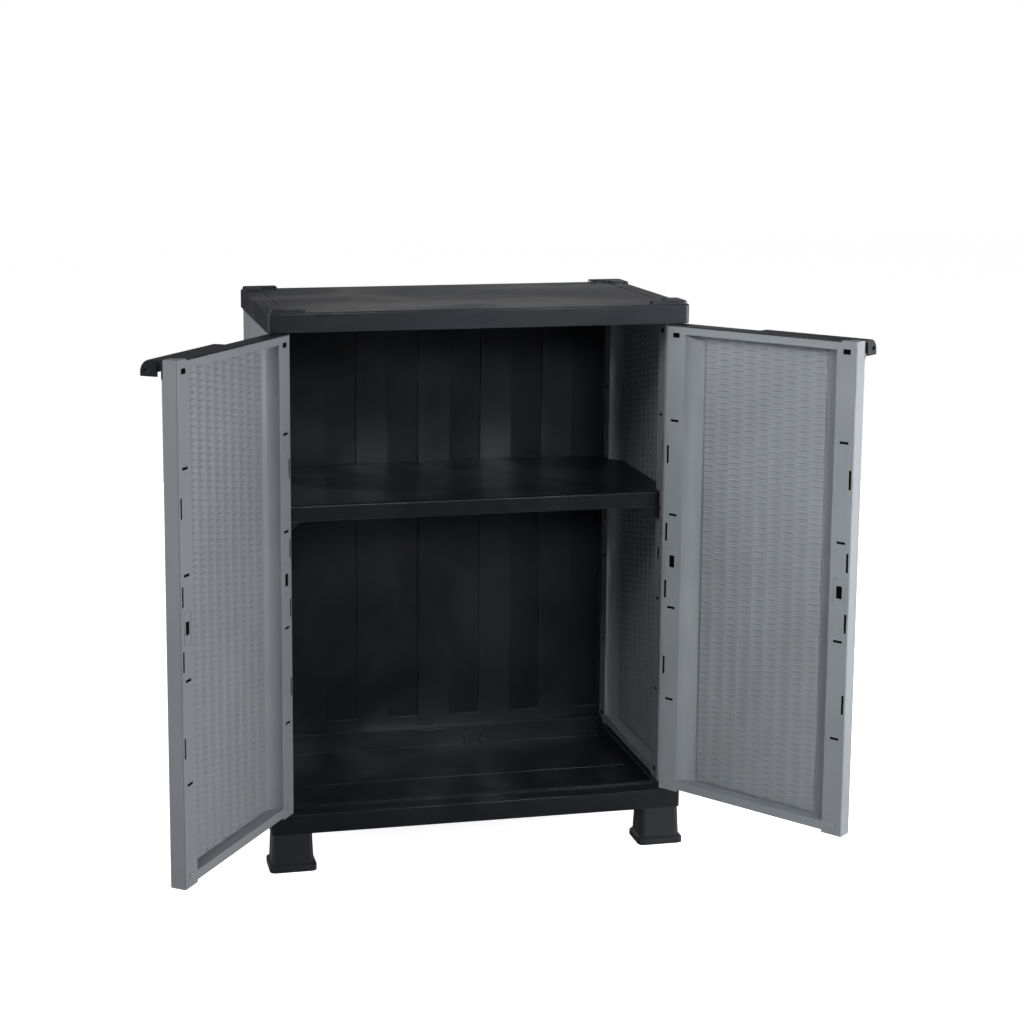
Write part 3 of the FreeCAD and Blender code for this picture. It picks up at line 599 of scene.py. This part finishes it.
# %% Tree: row of painted shade plates
shade_plate_tree, given, result = group_tree(
    "row_of_shade_plates", "GeometryNodeTree",
    [("Width", "Float"), ("Height", "Float"), ("Thickness", "Float"), ("Count", "Int"),
     ("Spacing", "Float"), ("Finish", "Material")], [("Geometry", "Geometry")])
size = given.outputs
plate_size = make(shade_plate_tree, "ShaderNodeCombineXYZ",
                  {"X": size["Width"], "Y": size["Height"], "Z": size["Thickness"]})
plate = make(shade_plate_tree, "GeometryNodeMeshCube", {"Size": plate_size.outputs[0]})
gaps = maths(shade_plate_tree, "SUBTRACT", size["Count"], 1.0)
row_length = maths(shade_plate_tree, "MULTIPLY", gaps, size["Spacing"])
lowest = maths(shade_plate_tree, "MULTIPLY", row_length, -0.5)
start = make(shade_plate_tree, "ShaderNodeCombineXYZ", {"Y": lowest})
step = make(shade_plate_tree, "ShaderNodeCombineXYZ", {"Y": size["Spacing"]})
row = make(shade_plate_tree, "GeometryNodeMeshLine",
           {"Count": size["Count"], "Start Location": start.outputs[0], "Offset": step.outputs[0]})
plates = make(shade_plate_tree, "GeometryNodeInstanceOnPoints",
              {"Points": row.outputs["Mesh"], "Instance": plate.outputs["Mesh"]})
end_tree(shade_plate_tree, result, plates.outputs["Instances"], size["Finish"])

# %% Sizes and places of the holes
hole_inset = 0.017
dash_size = (0.015, 0.0042)
dash_pitch = 0.1544
edge_slot_inset = 0.0052
edge_slot_size = (0.0042, 0.030)
edge_slot_offsets = (0.0475, 0.1756)
latch_hole_size = (0.010, 0.020)
socket_size = (0.0125, 0.008)
socket_from_end = 0.0165
shade_plate_thickness = 0.0006
shade_plate_depth = 0.0011
shade_plate_overlap = 0.0004
half_high = panel_height / 2
socket_offset = half_high - socket_from_end
outer_dash_offset = 1.5 * dash_pitch
print("sockets", round(socket_offset, 4), "above and below half height")

# %% Painted shade plates in every stile
def shade_plate_rows(kind):
    """Rows on one stile: inset, size, count, spacing and the row's middle above half height."""
    rows = [(edge_slot_inset, edge_slot_size, 2, 2 * offset, 0.0) for offset in edge_slot_offsets]
    rows.append((hole_inset, latch_hole_size, 1, 0.0, 0.0))
    if kind == "door":
        rows.append((hole_inset, dash_size, 4, dash_pitch, 0.0))
        rows.append((hole_inset, socket_size, 1, 0.0, socket_offset))
    else:
        rows.append((hole_inset, dash_size, 2, dash_pitch, -dash_pitch))
        rows.append((hole_inset, dash_size, 1, 0.0, outer_dash_offset))
        rows.append((hole_inset, socket_size, 2, 2 * socket_offset, 0.0))
    return rows


for kind, side, place, body in panels:
    placed = []
    for inset, (wide, tall), count, spacing, middle in shade_plate_rows(kind):
        plate_row = grow(shade_plate_tree, {"Width": wide + shade_plate_overlap, "Height": tall + shade_plate_overlap,
                                    "Thickness": shade_plate_thickness, "Count": count,
                                    "Spacing": spacing, "Finish": finishes["painted_slot_shade"]})
        for across in (inset, panel_width - inset):
            placed.append((plate_row, seat_on(place, side, across, shade_plate_depth,
                                           half_high + middle, False)))
    piece("slot_shade_plates_" + kind + "_" + side, placed, body)

# %% [markdown]
# Around each latch hole the panel has a thin raised outline, where a latch plate would sit. It is
# a rounded rectangle swept with a small round profile, half of it below the face.

# %% Tree: raised outline
rim_tree, given, result = group_tree(
    "raised_outline", "GeometryNodeTree",
    [("Width", "Float"), ("Height", "Float"), ("Corner", "Float"), ("Line", "Float"),
     ("Finish", "Material")], [("Geometry", "Geometry")])
size = given.outputs
corner_points = 5
profile_points = 8
oblong = make(rim_tree, "GeometryNodeCurvePrimitiveQuadrilateral",
              {"Width": size["Width"], "Height": size["Height"]})
rounded = make(rim_tree, "GeometryNodeFilletCurve",
               {"Curve": oblong.outputs["Curve"], "Radius": size["Corner"],
                "Count": corner_points}, mode="POLY")
profile = make(rim_tree, "GeometryNodeCurvePrimitiveCircle",
               {"Resolution": profile_points, "Radius": size["Line"]})
swept = make(rim_tree, "GeometryNodeCurveToMesh",
             {"Curve": rounded.outputs["Curve"], "Profile Curve": profile.outputs["Curve"]})
smooth = make(rim_tree, "GeometryNodeSetShadeSmooth", {"Geometry": swept.outputs["Mesh"]})
end_tree(rim_tree, result, smooth.outputs["Geometry"], size["Finish"])

# %% Outlines round the latch holes
rim_width = 0.0185
rim_height = 0.049
rim_corner = 0.004
rim_line = 0.0008
rim_mesh = grow(rim_tree, {"Width": rim_width, "Height": rim_height, "Corner": rim_corner,
                           "Line": rim_line, "Finish": finishes["grey_panel"]})
for kind, side, place, body in panels:
    placed = [(rim_mesh, seat_on(place, side, across, 0.0, half_high, False))
              for across in (hole_inset, panel_width - hole_inset)]
    piece("latch_rims_" + kind + "_" + side, placed, body)

# %% [markdown]
# The picture is a studio cut-out: white all round, soft even light from the front, and almost no
# shadow. The floor is a pale plane. A camera ray sees it lifted to white by a little emission,
# which lights nothing else, so the feet still have their soft contact shadow.

# %% Floor
floor_half = 12.0
floor_sink = 0.0005
floor_mesh = bpy.data.meshes.new("floor")
floor_corners = [(-floor_half, -floor_half, 0.0), (floor_half, -floor_half, 0.0),
                 (floor_half, floor_half, 0.0), (-floor_half, floor_half, 0.0)]
floor_mesh.from_pydata(floor_corners, [], [(0, 1, 2, 3)])
floor = bpy.data.objects.new("floor", floor_mesh)
floor_mesh.transform(Matrix.Translation((0.0, 0.0, -floor_sink)))
scene.collection.objects.link(floor)
print("floor", 2 * floor_half, "m wide")

# %% Floor material
pure_white = (1.0, 1.0, 1.0, 1.0)
floor_roughness = 0.9
floor_colour = 0.4
floor_colour_seen = 0.9
floor_glow_seen = 0.9
floor_material = bpy.data.materials.new("pale_floor")
floor_material.use_nodes = True
tree = floor_material.node_tree
paper = tree.nodes["Principled BSDF"]
paper.inputs["Roughness"].default_value = floor_roughness
rays = make(tree, "ShaderNodeLightPath")
shade = make(tree, "ShaderNodeMapRange", {"Value": rays.outputs["Is Camera Ray"],
                                          "To Min": floor_colour, "To Max": floor_colour_seen})
tree.links.new(shade.outputs["Result"], paper.inputs["Base Color"])
seen_glow = maths(tree, "MULTIPLY", rays.outputs["Is Camera Ray"], floor_glow_seen)
glow = make(tree, "ShaderNodeEmission", {"Color": pure_white, "Strength": seen_glow})
both_shaders = make(tree, "ShaderNodeAddShader", {0: paper.outputs[0], 1: glow.outputs[0]})
tree.links.new(both_shaders.outputs[0], tree.nodes["Material Output"].inputs["Surface"])
floor_mesh.materials.append(floor_material)
print("floor dressed in", floor_material.name)

# %% [markdown]
# The surroundings are white where the camera looks, straight or through glass. For the light and
# for the gloss of the plastics they are a dim studio with a slightly lighter ceiling towards the
# back, since the black mouldings in the picture mirror something dark and not the white. The lid
# is seen at a very low angle, so its slight waves and its patches of gloss show as soft clouds.

# %% Surroundings
room_light = 0.09
ceiling_light = 0.11
height_weight = 1.5
ceiling_from = 0.9
ceiling_full = 1.6
white_strength = 1.0
float_first, float_second, float_result = 2, 3, 0
world = bpy.data.worlds.new("studio")
scene.world = world
world.use_nodes = True
tree = world.node_tree
rays = make(tree, "ShaderNodeLightPath")
direction = make(tree, "ShaderNodeTexCoord")
part = make(tree, "ShaderNodeSeparateXYZ", {0: direction.outputs["Generated"]})
weighed_height = maths(tree, "MULTIPLY", part.outputs["Z"], height_weight)
back_and_up = maths(tree, "ADD", part.outputs["Y"], weighed_height)
studio_light = make(tree, "ShaderNodeMapRange",
                    {"Value": back_and_up, "From Min": ceiling_from, "From Max": ceiling_full,
                     "To Min": room_light, "To Max": ceiling_light},
                    interpolation_type="SMOOTHSTEP")
seen = maths(tree, "ADD", rays.outputs["Is Camera Ray"], rays.outputs["Is Transmission Ray"])
white = make(tree, "ShaderNodeMix", {"Factor": seen}, data_type="FLOAT")
tree.links.new(studio_light.outputs["Result"], white.inputs[float_first])
white.inputs[float_second].default_value = white_strength
backdrop = tree.nodes["Background"]
backdrop.inputs["Color"].default_value = pure_white
tree.links.new(white.outputs[float_result], backdrop.inputs["Strength"])
print("surroundings made")

# %% [markdown]
# Two large soft boxes stand far out at the sides, each lighting the door and the outer faces
# that look its way. The right one is low and meets the left door almost squarely, so its weave
# hardly shows. A third box, high up in front on the left, shines down on the right door at a
# slant and brings its weave out. A narrow beam from the front lifts the right door and the front
# edges. A weak box high up behind gives the lid its sheen, and one behind, lower than the lid,
# shows the back when the cabinet is seen from there.

# %% Lights
def soft_box(name, place, target, width, spread, power):
    """A square area light with a grid at one place, facing another; the grid narrows its beam."""
    data = bpy.data.lights.new(name, "AREA")
    data.size = width
    data.spread = math.radians(spread)
    data.energy = power
    lamp = bpy.data.objects.new(name, data)
    lamp.location = place
    facing = Vector(target) - Vector(place)
    lamp.rotation_euler = facing.to_track_quat("-Z", "Y").to_euler()
    scene.collection.objects.link(lamp)


middle = (0.0, -0.2, 0.5)
right_door_middle = (0.5, -0.3, 0.5)
wide_open = 180.0
narrow_beam = 32.0
soft_box("side_right", (2.7, -1.2, 0.8), middle, width=1.3, spread=wide_open, power=73.0)
soft_box("side_left", (-2.8, -0.5, 1.5), middle, width=1.2, spread=wide_open, power=40.0)
soft_box("high_left", (-1.5, -2.2, 3.0), middle, width=1.4, spread=wide_open, power=26.0)
soft_box("front_beam", (0.4, -3.3, 1.7), right_door_middle, width=0.6, spread=narrow_beam,
         power=2.4)
soft_box("high_behind", (0.8, 2.6, 2.6), middle, width=1.4, spread=wide_open, power=4.6)
soft_box("low_behind", (0.0, 3.0, 0.42), middle, width=0.5, spread=wide_open, power=12.0)

# %% [markdown]
# Last come the view settings. The picture is shown as it is lit, with no film curve.

# %% Finish
scene.view_settings.view_transform = "Standard"
